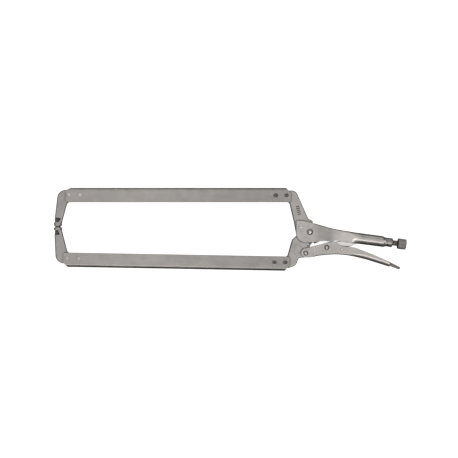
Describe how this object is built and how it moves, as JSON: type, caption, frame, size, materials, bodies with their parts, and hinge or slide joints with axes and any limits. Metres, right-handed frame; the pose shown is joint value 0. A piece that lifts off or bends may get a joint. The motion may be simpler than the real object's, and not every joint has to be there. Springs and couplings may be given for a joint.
{
  "type": "locking c clamp",
  "caption": "Deep-throat locking C clamp: channel rails carry forged jaw tips to an over-centre lever, with an adjusting screw in the fixed handle and a release lever.",
  "frame": {"origin": "centre of the fixed jaw pad's contact face, with the clamp lying flat", "axes": "+X down the throat from the pads to the handles, +Y from the moving jaw to the fixed jaw (the clamping direction), +Z through the clamp's thickness, up when it lies flat"},
  "size_m": [0.611, 0.1436, 0.0188],
  "materials": {
    "plated_sheet": "satin nickel-plated pressed steel",
    "plated_forging": "nickel-plated drop forging, faintly rough",
    "bright_link": "bright nickel-plated",
    "rivet_steel": "set rivet heads, plated",
    "screw_steel": "threaded and knurled steel, plated",
    "dark_steel": "darker spring and release-lever steel"
  },
  "bodies": {
    "fixed_frame": {"fixed_handle": "plated_sheet", "fixed_jaw": "plated_forging", "fixed_jaw_rivet": "rivet_steel", "jaw_pivot_rivet": "rivet_steel", "upper_rail": "plated_sheet", "upper_jaw_tip": "plated_forging", "upper_rail_rivet_1": "rivet_steel", "upper_rail_rivet_2": "rivet_steel", "upper_rail_rivet_3": "rivet_steel", "upper_rail_rivet_4": "rivet_steel", "threaded_bush": "rivet_steel", "return_spring": "dark_steel"},
    "moving_jaw": {"moving_jaw": "plated_forging", "lower_rail": "plated_sheet", "lower_jaw_tip": "plated_forging", "lower_rail_rivet_1": "rivet_steel", "lower_rail_rivet_2": "rivet_steel", "lower_rail_rivet_3": "rivet_steel", "lower_rail_rivet_4": "rivet_steel"},
    "lever": {"lever_handle": "plated_sheet", "lever_pivot_rivet": "rivet_steel", "link_pivot_rivet": "rivet_steel", "release_lever_pin": "rivet_steel"},
    "toggle_link": {"toggle_link": "bright_link"},
    "release_lever": {"release_lever": "dark_steel"},
    "adjusting_screw": {"adjusting_screw": "screw_steel"},
    "adjusting_knob": {"adjusting_knob": "screw_steel"}
  },
  "joints": [
    {"name": "jaw_open", "type": "hinge", "parent": "fixed_frame", "child": "moving_jaw", "pos_m": [0.4363, -0.0102, 0], "axis": [0, 0, 1], "range_deg": [0, 34], "deforming": ["return_spring"]},
    {"name": "lever_swing", "type": "hinge", "parent": "moving_jaw", "child": "lever", "pos_m": [0.4289, -0.0466, 0], "axis": [0, 0, -1], "range_deg": [0, 79.5]},
    {"name": "link_swing", "type": "hinge", "parent": "lever", "child": "toggle_link", "pos_m": [0.4653, -0.0369, 0], "axis": [0, 0, 1], "range_deg": [0, 85]},
    {"name": "release_lift", "type": "hinge", "parent": "lever", "child": "release_lever", "pos_m": [0.4909, -0.0413, 0], "axis": [0, 0, 1], "range_deg": [0, 8]},
    {"name": "screw_advance", "type": "slide", "parent": "fixed_frame", "child": "adjusting_screw", "axis": [0.9915, -0.1298, 0], "range_m": [0, 0.02]},
    {"name": "knob_turn", "type": "hinge", "parent": "adjusting_screw", "child": "adjusting_knob", "pos_m": [0.5235, -0.0218, 0], "axis": [0.9915, -0.1298, 0], "range_deg": [0, 4801]}
  ],
  "couplings": [
    {"joint": "lever_swing", "follows": "jaw_open", "ratio": 2.33},
    {"joint": "link_swing", "follows": "jaw_open", "ratio": 2.49},
    {"joint": "knob_turn", "follows": "screw_advance", "rad_per_m": 4188.8}
  ]
}
